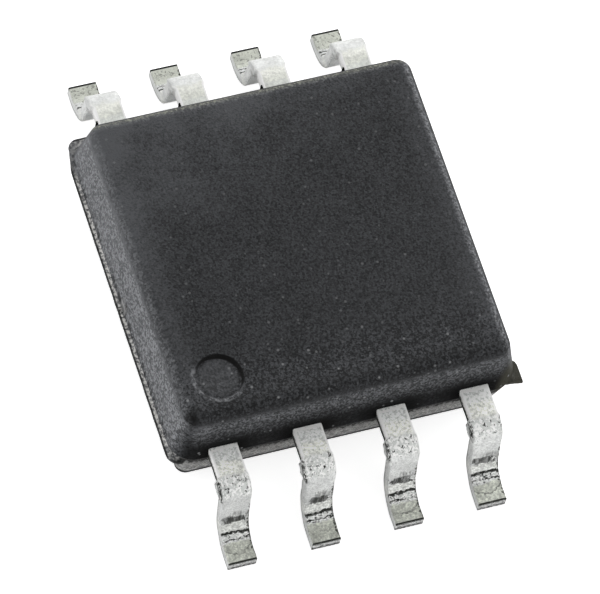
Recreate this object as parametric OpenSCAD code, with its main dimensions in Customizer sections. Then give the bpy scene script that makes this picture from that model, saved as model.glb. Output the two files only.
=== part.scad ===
// Flash memory chip in an eight-lead wide small-outline package, built as the real one is: a moulded
// body closed round a stamped lead frame, a silicon die on its paddle, and gold bond wires. Sizes in mm.
// X runs along the two rows of leads, Y across them, Z up from the plane that the lead feet stand on.
// Lead 1 is at the left end of the front row (-X, -Y), and the numbers run anticlockwise seen from above.

/* [Moulded body] */
// Length of the body along the lead rows, at the parting line
body_len = 5.26; // [5.0:0.02:6.0]
// Width of the body between the lead rows, at the parting line
body_wid = 5.32; // [5.1:0.02:5.8]
// Thickness of the body
body_thk = 1.82; // [1.7:0.01:2.1]
// Gap between the seating plane and the underside of the body
standoff = 0.10; // [0.05:0.01:0.25]
// Draft angle of the upper half's sides
draft_top = 12; // [7:0.5:13]
// Draft angle of the lower half's sides
draft_bottom = 14; // [8:0.5:15]
// Radius of the body's upright corners at the parting line
corner_r = 0.38; // [0.34:0.01:0.5]
// Radius of the top face's edges
top_edge_r = 0.16; // [0.04:0.01:0.18]
// Radius of the underside's edges
bottom_edge_r = 0.06; // [0.03:0.01:0.08]

/* [Marks on the moulding] */
// Diameter of the pin-1 dimple at the top face
dimple_d = 0.74; // [0.4:0.02:1.0]
// Depth of the pin-1 dimple
dimple_depth = 0.05; // [0.02:0.01:0.1]
// Distance of the dimple's centre from the body's end, at the parting line
dimple_inset_x = 0.82; // [0.7:0.02:1.1]
// Distance of the dimple's centre from the body's front, at the parting line
dimple_inset_y = 0.80; // [0.7:0.02:1.1]
// Diameter of the ejector pin's mark on the underside
ejector_d = 1.0; // [0.6:0.05:1.6]
// Depth of the ejector pin's mark
ejector_depth = 0.04; // [0.02:0.01:0.08]
// How far the thin flash stands out of the left end at the parting line
flash_left = 0.07; // [0.03:0.01:0.12]
// How far the thin flash stands out of the right end
flash_right = 0.02; // [0.01:0.01:0.08]
// Thickness of the flash
flash_thk = 0.04; // [0.02:0.01:0.08]
// Radius of the left flash's front corner
flash_corner_r = 0.20; // [0.1:0.01:0.3]
// How far the flash in the air vent stands out behind the corner by lead 8
vent_reach = 0.07; // [0.02:0.01:0.1]
// Length of the air vent along each side of that corner
vent_run = 0.44; // [0.38:0.01:0.46]
// Radius of the vent flash's outer corner
vent_corner_r = 0.16; // [0.1:0.01:0.24]
// How far the broken-off gate stands out of the body's corner
gate_reach = 0.06; // [0.02:0.01:0.1]
// Width of the broken-off gate along the body's right side
gate_wid = 0.40; // [0.34:0.01:0.6]
// Thickness of the broken-off gate
gate_thk = 0.06; // [0.03:0.01:0.2]

/* [Lead frame] */
// Number of leads in each row
leads_per_row = 4; // [2:1:4]
// Distance between neighbouring leads
pitch = 1.27; // [1.2:0.01:1.35]
// Width of a lead
lead_wid = 0.43; // [0.36:0.01:0.5]
// Thickness of the lead frame's strip
strip_thk = 0.19; // [0.15:0.01:0.25]
// Height of the lead frame's underside above the seating plane
frame_h = 1.04; // [0.95:0.01:1.15]
// Span of the leads from toe to toe
toe_span = 8.00; // [7.8:0.02:8.3]
// Level length of the foot beyond its bend
foot_flat = 0.15; // [0.08:0.01:0.3]
// Slope of a lead between its two bends, below the horizontal
lead_slope = 80; // [70:1:86]
// Inner radius of the bend at the shoulder
shoulder_r = 0.15; // [0.1:0.01:0.2]
// Inner radius of the bend above the foot
foot_r = 0.38; // [0.25:0.01:0.44]
// How far the cut stubs of the dambar stand out of a lead's sides
stub_reach = 0.035; // [0.02:0.005:0.08]
// How far the trim punches stood off centre, which leaves the stub on each lead's left side longer
trim_shift = 0.010; // [0:0.005:0.02]
// Angle round the first bend at which a stub starts
stub_start = 8; // [5:1:30]
// Angle round the first bend at which a stub ends
stub_end = 74; // [50:1:80]
// Width of the inner finger's head, where the wire is bonded
head_wid = 0.78; // [0.6:0.02:0.9]
// Length of the inner finger's head
head_len = 0.48; // [0.4:0.02:0.56]
// Depth of the notches that lock a finger in the mould
notch_depth = 0.06; // [0.03:0.01:0.1]
// Length of those notches
notch_len = 0.16; // [0.1:0.01:0.2]
// Gap in plan between the paddle's edge and the fingers
finger_gap = 0.18; // [0.12:0.01:0.25]

/* [Die and paddle] */
// Length of the die
die_len = 2.90; // [2.4:0.05:3.0]
// Width of the die
die_wid = 2.10; // [1.6:0.05:2.3]
// Thickness of the die
die_thk = 0.28; // [0.2:0.01:0.34]
// Thickness of the layer of adhesive under the die
glue_thk = 0.03; // [0.02:0.005:0.05]
// How far the adhesive squeezes out round the die
glue_spread = 0.07; // [0.02:0.01:0.1]
// Length of the paddle
paddle_len = 3.30; // [3.2:0.05:3.5]
// Width of the paddle
paddle_wid = 2.50; // [2.45:0.01:2.54]
// How far the paddle is set down below the leads
downset = 0.28; // [0.24:0.01:0.34]
// Width of the tie bars that carry the paddle
tie_wid = 0.20; // [0.16:0.02:0.5]
// How far the tie bars stand off the middle, towards the back row
tie_shift = -0.12; // [-0.3:0.02:0.3]
// Length of the tie bars' level part next to the paddle
tie_run = 0.16; // [0.12:0.01:0.2]

/* [Bond wires] */
// Diameter of the gold wire
wire_d = 0.033; // [0.025:0.001:0.038]
// Diameter of the ball on the die
ball_d = 0.085; // [0.07:0.005:0.1]
// Height of the ball
ball_h = 0.022; // [0.015:0.001:0.03]
// Height of the loop above the die
loop_h = 0.20; // [0.15:0.01:0.26]
// Distance of the balls' centres from the die's edge
pad_inset = 0.09; // [0.07:0.01:0.15]
// Distance between neighbouring balls along the die's edge
pad_pitch = 0.76; // [0.5:0.02:0.82]
// Length of the stitch pressed on a finger
stitch_len = 0.09; // [0.06:0.01:0.11]
// Width of the stitch
stitch_wid = 0.06; // [0.045:0.005:0.08]

/* [Hidden] */

half_x = body_len / 2;
half_y = body_wid / 2;
top_z = standoff + body_thk;
frame_top = frame_h + strip_thk;
slack = 0.01;                      // how far a cutter runs past the face that it opens

paddle_z = frame_h - downset;
glue_z = paddle_z + strip_thk;
die_z = glue_z + glue_thk;
die_top = die_z + die_thk;

arc_steps = 8;                     // straight pieces in each bend or rounded edge of an outline
corner_fn = 48;
mark_fn = 64;

// Colours of the real materials
mould_colour = [0.16, 0.165, 0.17];
tin_colour = [0.78, 0.79, 0.76];
copper_colour = [0.78, 0.50, 0.34];
glue_colour = [0.80, 0.80, 0.76];
silicon_colour = [0.36, 0.38, 0.44];
gold_colour = [0.90, 0.72, 0.30];

// ---- Moulded body -------------------------------------------------------------------------------

// Points of an arc from angle a to angle b
function arc(centre, r, a, b) =
    [for (i = [0:arc_steps]) let (t = a + (b - a) * i / arc_steps) centre + r * [cos(t), sin(t)]];

// How far a drafted side has moved in at height z above or below the parting line
function inset(z) = (z > frame_h) ? (z - frame_h) * tan(draft_top) : (frame_h - z) * tan(draft_bottom);

// Half of the body's section, from its middle out: underside edge, parting line, top edge
function half_section(half) = let (
        low_z = standoff + bottom_edge_r,
        low_x = half - inset(low_z) - bottom_edge_r / cos(draft_bottom),
        high_z = top_z - top_edge_r,
        high_x = half - inset(high_z) - top_edge_r / cos(draft_top))
    concat(
        [[0, standoff]],
        arc([low_x, low_z], bottom_edge_r, -90, -draft_bottom),
        [[half, frame_h]],
        arc([high_x, high_z], top_edge_r, draft_top, 90),
        [[0, top_z]]);

// Prism with the body's section, running along Y
module drafted_bar(half, length) {
    rotate([90, 0, 0])
        linear_extrude(length, center = true)
            for (side = [0, 1])
                mirror([side, 0]) polygon(half_section(half));
}

// The moulding before its cavities: two crossed bars and a quarter turn of the same section at each corner
module moulding() {
    drafted_bar(half_x, body_wid - 2 * corner_r);
    rotate([0, 0, 90]) drafted_bar(half_y, body_len - 2 * corner_r);
    for (sx = [0, 1], sy = [0, 1])
        mirror([sx, 0, 0]) mirror([0, sy, 0])
            translate([half_x - corner_r, half_y - corner_r, 0])
                rotate_extrude(angle = 90, $fn = corner_fn) polygon(half_section(corner_r));
}

// Thin flash squeezed out of the left end, with the tab that filled the air vent at the corner by lead 8
module left_flash() {
    front = half_x + flash_left - flash_corner_r;
    vent_y = half_y + vent_reach - vent_corner_r;
    mirror([1, 0, 0])
        translate([0, 0, frame_h - flash_thk])
            linear_extrude(flash_thk)
                polygon(concat(
                    [[half_x - 2 * corner_r, corner_r - half_y]],
                    arc([front, flash_corner_r - half_y], flash_corner_r, -90, 0),
                    [[half_x + flash_left, half_y - vent_run]],
                    arc([half_x - vent_corner_r, vent_y], vent_corner_r, 0, 90),
                    [
                        [half_x - vent_run, half_y + vent_reach],
                        [half_x - 2 * corner_r, half_y - corner_r]]));
}

// Thin flash squeezed out of the right end
module right_flash() {
    run = half_y - corner_r;
    translate([0, 0, frame_h - flash_thk])
        linear_extrude(flash_thk)
            polygon([
                [half_x - corner_r, -run],
                [half_x, -run],
                [half_x + flash_right, -run + flash_right],
                [half_x + flash_right, run - flash_right],
                [half_x, run],
                [half_x - corner_r, run]]);
}

// Stump of the gate through which the corner by lead 4 was filled, broken off to a sharp tip
module gate_stump() {
    translate([half_x, -half_y, frame_h - gate_thk])
        linear_extrude(gate_thk)
            polygon([
                [-corner_r, corner_r],
                [-corner_r / 2, gate_wid],
                [0, gate_wid],
                [gate_reach, gate_wid - gate_reach],
                [gate_reach, gate_reach / 2],
                [-gate_reach, gate_reach],
                [-corner_r / 2, gate_reach]]);
}

// Round recess with a sloping rim, cut down from z = 0
module round_mark(d, depth) {
    rotate_extrude($fn = mark_fn)
        polygon([
            [0, slack],
            [d / 2 + slack, slack],
            [d / 2 - depth, -depth],
            [0, -depth]]);
}

module mould_body() {
    color(mould_colour)
        difference() {
            union() {
                moulding();
                left_flash();
                right_flash();
                gate_stump();
            }
            translate([-half_x + dimple_inset_x, -half_y + dimple_inset_y, top_z])
                round_mark(dimple_d, dimple_depth);
            translate([0, 0, standoff])
                mirror([0, 0, 1]) round_mark(ejector_d, ejector_depth);
            for (n = [1:2 * leads_per_row]) {
                lead_shape(n);
                wire_shape(n);
            }
            paddle_shape();
            glue_shape();
            die_shape();
        }
}

// ---- Leads --------------------------------------------------------------------------------------

// Worked back from the toe: level foot, bend, slope, bend, and then the shoulder runs into the body
toe = toe_span / 2;
foot_start = toe - foot_flat;
foot_outer_r = foot_r + strip_thk;
slope_run = (frame_h - (shoulder_r + foot_outer_r) * (1 - cos(lead_slope))) / tan(lead_slope);
shoulder_end = foot_start - slope_run - (shoulder_r + foot_outer_r) * sin(lead_slope);
finger_end = paddle_wid / 2 + finger_gap;

// Centre of the first bend, seen from the side
bend = [shoulder_end, frame_h - shoulder_r];

// Side view of a lead from its inner end to its toe: the underside out, the upper side back
lead_side = concat(
    [[finger_end, frame_h]],
    arc(bend, shoulder_r, 90, 90 - lead_slope),
    arc([foot_start, foot_outer_r], foot_outer_r, 270 - lead_slope, 270),
    [[toe, 0], [toe, strip_thk]],
    arc([foot_start, foot_outer_r], foot_r, 270, 270 - lead_slope),
    arc(bend, shoulder_r + strip_thk, 90 - lead_slope, 90),
    [[finger_end, frame_top]]);

// Right half of a lead's outline in plan: finger head, lock notch, neck, foot
neck_start = finger_end + head_len;
notch_start = neck_start + notch_len;
lead_plan = [
    [0, finger_end],
    [head_wid / 2, finger_end],
    [head_wid / 2, neck_start],
    [lead_wid / 2, neck_start + notch_len / 2],
    [lead_wid / 2, notch_start],
    [lead_wid / 2 - notch_depth, notch_start + notch_len / 4],
    [lead_wid / 2 - notch_depth, notch_start + notch_len * 3 / 4],
    [lead_wid / 2, notch_start + notch_len],
    [lead_wid / 2, toe + slack],
    [0, toe + slack]];

// Side view of the dambar's stubs, which were bent along with the lead
stub_side = concat(
    arc(bend, shoulder_r, 90 - stub_start, 90 - stub_end),
    arc(bend, shoulder_r + strip_thk, 90 - stub_end, 90 - stub_start));

// A lead of the back row at x = 0: its plan and its side view, extruded and intersected, and its stubs
module formed_lead() {
    intersection() {
        rotate([90, 0, 90])
            linear_extrude(head_wid + 2 * slack, center = true) polygon(lead_side);
        for (side = [0, 1])
            mirror([side, 0, 0])
                linear_extrude(frame_top + slack) polygon(lead_plan);
    }
    translate([-trim_shift, 0, 0])
        rotate([90, 0, 90])
            linear_extrude(lead_wid + 2 * stub_reach, center = true) polygon(stub_side);
}

// Place of lead n along its row, and its row: 0 in front, 1 at the back
function lead_row(n) = (n <= leads_per_row) ? 0 : 1;
function lead_x(n) = let (k = (n - 1) % leads_per_row - (leads_per_row - 1) / 2)
    (lead_row(n) == 0 ? k : -k) * pitch;

module lead_shape(n) {
    translate([lead_x(n), 0, 0])
        mirror([0, 1 - lead_row(n), 0]) formed_lead();
}

module lead(n) {
    if (n <= 2 * leads_per_row)
        color(tin_colour) lead_shape(n);
}

// ---- Paddle, adhesive and die -------------------------------------------------------------------

// A tie bar seen from the side: level with the paddle, up a step, and out to the end face
tie_angle = 45;
tie_step = strip_thk * tan(tie_angle / 2);
tie_low = paddle_len / 2 + tie_run;
tie_high = tie_low + downset / tan(tie_angle);
tie_side = [
    [0, paddle_z],
    [tie_low, paddle_z],
    [tie_high, frame_h],
    [half_x, frame_h],
    [half_x, frame_top],
    [tie_high - tie_step, frame_top],
    [tie_low - tie_step, paddle_z + strip_thk],
    [0, paddle_z + strip_thk]];

module block(length, width, low, height) {
    translate([-length / 2, -width / 2, low]) cube([length, width, height]);
}

module paddle_shape() {
    block(paddle_len, paddle_wid, paddle_z, strip_thk);
    for (side = [0, 1])
        mirror([side, 0, 0])
            translate([0, tie_shift, 0])
                rotate([90, 0, 0])
                    linear_extrude(tie_wid, center = true) polygon(tie_side);
}

module glue_shape() {
    block(die_len + 2 * glue_spread, die_wid + 2 * glue_spread, glue_z, glue_thk);
}

module die_shape() {
    block(die_len, die_wid, die_z, die_thk);
}

module die_paddle() {
    color(copper_colour) paddle_shape();
}

module die_attach() {
    color(glue_colour) glue_shape();
}

module flash_die() {
    color(silicon_colour) die_shape();
}

// ---- Bond wires ---------------------------------------------------------------------------------

wire_sides = 8;
loop_steps = 7;
step_t = 0.01;                     // step along the loop's curve that gives its tilt

// How far the loop's curve is pulled up above the ball and before the stitch, in loop heights
rise_pull = 1.35;
fall_pull = 1.1;
fall_reach = 0.45;                 // and how far in, in spans
heel = 1.2;                        // height at which the wire meets its stitch, in wire diameters

// A wire is swept along a path in an upright plane. Each station is [distance, height, tilt of the wire,
// half width, half depth], with heights above the top of the finger.
ball_low = die_top - frame_top;
function bezier(t, a, b, c, d) =
    pow(1 - t, 3) * a + 3 * t * pow(1 - t, 2) * b + 3 * t * t * (1 - t) * c + pow(t, 3) * d;
function loop_stations(span) = let (
        a = [0, ball_low + ball_h + wire_d],
        b = [0, ball_low + loop_h * rise_pull],
        c = [span * fall_reach, ball_low + loop_h * fall_pull],
        d = [span - stitch_len / 2, wire_d * heel])
    [for (i = [0:loop_steps]) let (
        t = i / loop_steps,
        p = bezier(t, a, b, c, d),
        q = bezier(t + step_t, a, b, c, d) - bezier(t - step_t, a, b, c, d))
        [p[0], p[1], atan2(q[1], q[0]), wire_d / 2, wire_d / 2]];
function wire_stations(span) = concat(
    [
        [0, ball_low, 90, ball_d / 2, ball_d / 2],
        [0, ball_low + ball_h, 90, ball_d / 2, ball_d / 2],
        [0, ball_low + ball_h + wire_d / 3, 90, wire_d / 2, wire_d / 2]],
    loop_stations(span),
    [
        [span, wire_d / 3, -90, stitch_wid / 2, stitch_len / 2],
        [span, 0, -90, stitch_wid / 2, stitch_len / 2]]);

// Ring of points round a station, square to the wire there
function ring(s) = [for (k = [0:wire_sides - 1]) let (
        a = 360 * (k + 0.5) / wire_sides,
        off = s[4] * sin(a))
    [s[0] - off * sin(s[2]), s[3] * cos(a), s[1] + off * cos(s[2])]];

module swept_wire(span) {
    stations = wire_stations(span);
    last = len(stations) - 1;
    points = [for (s = stations) each ring(s)];
    walls = [for (i = [0:last - 1], k = [0:wire_sides - 1]) let (j = (k + 1) % wire_sides)
        [
            i * wire_sides + k,
            (i + 1) * wire_sides + k,
            (i + 1) * wire_sides + j,
            i * wire_sides + j]];
    first_cap = [for (k = [0:wire_sides - 1]) k];
    last_cap = [for (k = [wire_sides - 1:-1:0]) last * wire_sides + k];
    polyhedron(points, concat([first_cap], walls, [last_cap]));
}

// Wire n: from its ball near the die's edge to the middle of its finger's head
function ball_at(n) = let (side = lead_row(n) * 2 - 1)
    [lead_x(n) / pitch * pad_pitch, side * (die_wid / 2 - pad_inset)];
function stitch_at(n) = [lead_x(n), (lead_row(n) * 2 - 1) * (finger_end + head_len / 2)];

module wire_shape(n) {
    way = stitch_at(n) - ball_at(n);
    translate([ball_at(n)[0], ball_at(n)[1], frame_top])
        rotate([0, 0, atan2(way[1], way[0])]) swept_wire(norm(way));
}

module bond_wire(n) {
    if (n <= 2 * leads_per_row)
        color(gold_colour) wire_shape(n);
}

// ---- What is drawn ------------------------------------------------------------------------------

mould_body();
lead(1);  // lead_1
lead(2);  // lead_2
lead(3);  // lead_3
lead(4);  // lead_4
lead(5);  // lead_5
lead(6);  // lead_6
lead(7);  // lead_7
lead(8);  // lead_8
die_paddle();
die_attach();
flash_die();
bond_wire(1);  // bond_wire_1
bond_wire(2);  // bond_wire_2
bond_wire(3);  // bond_wire_3
bond_wire(4);  // bond_wire_4
bond_wire(5);  // bond_wire_5
bond_wire(6);  // bond_wire_6
bond_wire(7);  // bond_wire_7
bond_wire(8);  // bond_wire_8
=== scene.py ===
"""Flash memory chip in an eight-lead small-outline package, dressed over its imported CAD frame.

The moulded body and the eight formed leads are modelled again here with their fine edges, flash, burrs and
scuffs, and the pieces sealed inside keep their CAD meshes and get finishes of their own. Lengths in the
classes are in millimetres; every mesh is brought to metres when it is finished.
"""

from __future__ import annotations

import logging
import math
from collections.abc import Callable, Iterable
from dataclasses import dataclass, field
from enum import Enum
from functools import reduce

import bmesh
import bpy
from bpy.types import Material, Node, NodeSocket, NodeTree, Object
from mathutils import Euler, Matrix, Vector, noise

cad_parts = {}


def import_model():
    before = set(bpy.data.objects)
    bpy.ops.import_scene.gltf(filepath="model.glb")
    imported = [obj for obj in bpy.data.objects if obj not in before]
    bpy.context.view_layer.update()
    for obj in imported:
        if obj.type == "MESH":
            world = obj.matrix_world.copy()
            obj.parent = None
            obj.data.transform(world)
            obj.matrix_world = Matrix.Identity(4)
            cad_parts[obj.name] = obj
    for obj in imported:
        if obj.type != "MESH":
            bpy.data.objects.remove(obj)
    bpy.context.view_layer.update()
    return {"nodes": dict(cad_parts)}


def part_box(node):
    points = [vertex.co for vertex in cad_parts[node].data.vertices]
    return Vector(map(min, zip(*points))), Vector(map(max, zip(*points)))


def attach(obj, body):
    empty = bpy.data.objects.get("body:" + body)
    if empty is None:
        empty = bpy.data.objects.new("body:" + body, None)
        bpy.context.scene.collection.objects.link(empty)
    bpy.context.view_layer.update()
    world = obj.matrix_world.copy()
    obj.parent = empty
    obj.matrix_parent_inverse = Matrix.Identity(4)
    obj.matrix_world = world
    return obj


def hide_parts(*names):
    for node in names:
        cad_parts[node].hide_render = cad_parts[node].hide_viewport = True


BMesh, BMVert, BMEdge = bmesh.types.BMesh, bmesh.types.BMVert, bmesh.types.BMEdge
Rgba = tuple[float, float, float, float]
Triple = Stretch = tuple[float, float, float]
Point = tuple[float, float]

MM = 0.001
LEVEL = 1e-4  # within this many mm two heights are one
SEAM = 1e-5  # vertices nearer than this many mm are merged
TURN = 1e-6  # within this many radians two angles are one
WHITE = (1.0, 1.0, 1.0, 1.0)
LOG = logging.getLogger("flash_chip")


class Row(Enum):
    """The two rows of leads, by the side of the body that they stand on."""

    FRONT = -1
    BACK = 1


class Ray(Enum):
    """Kinds of ray that see a plain pale background, by their Light Path output."""

    CAMERA = "Is Camera Ray"
    GLOSSY = "Is Glossy Ray"
    TRANSMISSION = "Is Transmission Ray"


# ---- Node trees ---------------------------------------------------------------------------------


def operator(operation: str) -> Callable[..., Value]:
    """Makes a method that adds a Math node over a value and its operands."""
    return lambda value, *operands: value.tree.math(operation, value, *operands)


class Value:
    """An output socket to reckon with: every operator adds its node to the tree."""

    __add__, __sub__, __mul__ = operator("ADD"), operator("SUBTRACT"), operator("MULTIPLY")
    __truediv__, __abs__, least = operator("DIVIDE"), operator("ABSOLUTE"), operator("MINIMUM")

    def __init__(self, tree: Tree, socket: NodeSocket) -> None:
        """Holds a socket of a tree."""
        self.tree, self.socket = tree, socket

    def __rsub__(self, other: float) -> Value:
        """Takes this away from a number."""
        return self.tree.math("SUBTRACT", other, self)

    def most(self, *others: Value | float) -> Value:
        """Gives the greatest of this and others."""
        return reduce(operator("MAXIMUM"), others, self)

    def clamped(self) -> Value:
        """Keeps the value between 0 and 1."""
        return self.tree.value("Clamp", {"Value": self})

    def ramp(self, low: float, high: float, first: float = 0.0, last: float = 1.0) -> Value:
        """Maps the value smoothly from low and high to a first and a last result, clamped at both ends."""
        ends = {"Value": self, "From Min": low, "From Max": high, "To Min": first, "To Max": last}
        return self.tree.value("MapRange", ends, "Result", interpolation_type="SMOOTHSTEP")

    def fall(self, low: float, high: float, top: float = 1.0) -> Value:
        """Fades from a top value to 0 as this goes from low to high."""
        return self.ramp(low, high, top, 0.0)

    def band(self, low: float, high: float, soft: float) -> Value:
        """Makes a mask that is 1 from low to high and fades over a soft width on either side."""
        return self.ramp(low - soft, low) * self.fall(high, high + soft)

    def mix(self, first: Value | Rgba, second: Value | Rgba) -> Value:
        """Mixes two colours, with this as the share of the second."""
        return self.tree.value("Mix", {0: self, 6: first, 7: second}, 2, data_type="RGBA")


class Tree:
    """A node tree being written: adds nodes, sets their sockets and links them."""

    def __init__(self, tree: NodeTree) -> None:
        """Starts on the tree of a material, world or group, and clears it."""
        self.tree = tree
        self.tree.nodes.clear()

    def add(self, kind: str, inputs: dict | None = None, **settings: object) -> Node:
        """Adds a node.

        Args:
            kind: the node's type, without the ShaderNode at its start.
            inputs: socket name or number to a value, or to the socket that feeds it.
            settings: properties set on the node before its sockets.

        Returns:
            The new node.
        """
        node = self.tree.nodes.new(kind if kind.startswith("Node") else "ShaderNode" + kind)
        for name, value in settings.items():
            setattr(node, name, value)
        self.feed(node, inputs or {})
        return node

    def feed(self, node: Node, inputs: dict) -> None:
        """Links or sets inputs of a node.

        Args:
            node: the node.
            inputs: socket name or number to a value, a socket, a number or a tuple.
        """
        for name, value in inputs.items():
            value = value.socket if isinstance(value, Value) else value
            if isinstance(value, NodeSocket):
                self.tree.links.new(value, node.inputs[name])
            else:
                node.inputs[name].default_value = value

    def value(self, kind: str, inputs: dict | None = None, out: int | str = 0, **settings: object) -> Value:
        """Adds a node and gives one of its outputs."""
        return Value(self, self.add(kind, inputs, **settings).outputs[out])

    def math(self, operation: str, *values: Value | float) -> Value:
        """Adds a Math node over its inputs in order."""
        return self.value("Math", dict(enumerate(values)), operation=operation)

    def shaded(self, colour: Value | Rgba, shade: Value) -> Value:
        """Multiplies a colour by a grey."""
        inputs = {0: 1.0, 6: colour, 7: self.value("CombineColor", {0: shade, 1: shade, 2: shade})}
        return self.value("Mix", inputs, 2, data_type="RGBA", blend_type="MULTIPLY")

    def split(self, where: Value) -> list[Value]:
        """Splits a vector into its three values."""
        return [Value(self, part) for part in self.add("SeparateXYZ", {0: where}).outputs]

    def scaled(self, where: Value, scale: Triple) -> Value:
        """Scales coordinates along each axis."""
        return self.value("Mapping", {"Vector": where, "Scale": scale})

    def shifted(self, where: Value, by: Value) -> Value:
        """Shifts coordinates equally along all three axes."""
        shift = self.value("CombineXYZ", {0: by, 1: by, 2: by})
        return self.value("VectorMath", {0: where, 1: shift}, operation="ADD")

    def place(self) -> Value:
        """Gives the point on the piece in millimetres, read from Object coordinates."""
        return self.scaled(self.value("TexCoord", out="Object"), (1 / MM, 1 / MM, 1 / MM))

    def noise(self, where: Value, scale: object, detail: float, rough: float = 0.6, **more: float) -> Value:
        """Adds a noise, by its waves in a mm, its finer layers and their strength."""
        inputs = {"Vector": where, "Scale": scale, "Detail": detail, "Roughness": rough}
        return self.value("TexNoise", inputs | more)

    def cells(self, where: Value, scale: Value, channel: int) -> tuple[Value, Value]:
        """Adds cells, and gives the distance from their middles and one channel of their own colours."""
        out = self.add("TexVoronoi", {"Vector": where, "Scale": scale, "Randomness": 1.0}).outputs
        return Value(self, out["Distance"]), self.value("SeparateColor", {0: out["Color"]}, channel)

    def attribute(self, name: str, out: str = "Fac") -> Value:
        """Reads what is kept on the vertices under a name."""
        return self.value("Attribute", out=out, attribute_name=name)

    def group(self, shared: NodeTree, inputs: dict) -> list[Value]:
        """Places a shared group and gives its outputs in order."""
        return [Value(self, out) for out in self.add("Group", node_tree=shared, inputs=inputs).outputs]

    def bump(self, shader: Node, height: Value, strength: float, distance: float) -> None:
        """Turns a height into the shader's normal, with a relief of some mm."""
        inputs = {"Height": height, "Strength": strength, "Distance": distance * MM}
        self.feed(shader, {"Normal": self.value("Bump", inputs)})


def group_tree(name: str, inputs: dict, outputs: tuple[str, ...]) -> tuple[Tree, list[Value], Node]:
    """Makes an empty shader node group with named sockets.

    Args:
        name: the group's name.
        inputs: socket name to kind, Float or Vector.
        outputs: names of the outputs, which are numbers.

    Returns:
        The group's tree, its inputs and its output node.
    """
    group = bpy.data.node_groups.new(name, "ShaderNodeTree")
    for way, sockets in (("INPUT", inputs), ("OUTPUT", dict.fromkeys(outputs, "Float"))):
        for title, kind in sockets.items():
            group.interface.new_socket(name=title, in_out=way, socket_type="NodeSocket" + kind)
    tree = Tree(group)
    given = [Value(tree, socket) for socket in tree.add("NodeGroupInput").outputs]
    return tree, given, tree.add("NodeGroupOutput")


def sand_group() -> NodeTree:
    """Makes the group for fine grain: grains of their own tones, their relief, clouding and sparse flecks.

    Returns:
        The group, with inputs Vector and Size in millimetres, and outputs Sand, Relief, Cloud and Fleck.
    """
    outputs = ("Sand", "Relief", "Cloud", "Fleck")
    tree, given, out = group_tree("fine_sand", {"Vector": "Vector", "Size": "Float"}, outputs)
    where, per_mm = given[0], tree.math("DIVIDE", 1.0, given[1])
    relief = tree.noise(where, per_mm, 2.0)
    cloud = tree.noise(where, per_mm * 0.045, 4.0, 0.55)
    _, tone = tree.cells(where, per_mm, 1)
    far, own = tree.cells(where, per_mm * 0.28, 0)
    sand = tone * 0.6 + relief.ramp(0.3, 0.7, 0.0, 0.4)
    fleck = far.fall(0.10, 0.26) * own.ramp(0.68, 0.94)
    results = (sand, relief.ramp(0.35, 0.65), cloud.ramp(0.3, 0.7), fleck)
    tree.feed(out, dict(zip(outputs, results)))
    return tree.tree


def scuff_group() -> NodeTree:
    """Makes the group for tool scuffs: bright pressed spots, dark pits and streaks along a strip.

    Returns:
        The group, with inputs Vector (across, along, depth) and Lot, and outputs Bright, Dark and Streak.
    """
    outputs = ("Bright", "Dark", "Streak")
    tree, given, out = group_tree("tool_scuffs", {"Vector": "Vector", "Lot": "Float"}, outputs)
    where = tree.shifted(given[0], given[1] * 3.7)
    stretch = {"Vector": where, "Scale": (1.0, 0.16, 1.0), "Rotation": (0.0, 0.0, 0.35)}
    spots = tree.noise(where, 30.0, 1.0)
    pits = tree.noise(where, 27.0, 2.0, Distortion=0.4)
    streaks = tree.noise(tree.value("Mapping", stretch), 26.0, 3.0)
    results = (spots.ramp(0.47, 0.54), pits.ramp(0.58, 0.67), streaks.ramp(0.35, 0.68))
    tree.feed(out, dict(zip(outputs, results)))
    return tree.tree


@dataclass(frozen=True)
class SharedEffects:
    """The node groups that several finishes place in their own materials."""

    sand: NodeTree = field(default_factory=sand_group)
    scuffs: NodeTree = field(default_factory=scuff_group)


def new_material(name: str) -> tuple[Material, Tree, Node]:
    """Makes a material that holds a Principled BSDF and its output.

    Args:
        name: the material's name.

    Returns:
        The material, its tree and the shader node.
    """
    material = bpy.data.materials.new(name)
    material.use_nodes = True
    tree = Tree(material.node_tree)
    shader = tree.add("BsdfPrincipled")
    tree.add("OutputMaterial", {"Surface": shader.outputs[0]})
    return material, tree, shader


# ---- Finishes -----------------------------------------------------------------------------------


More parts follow.
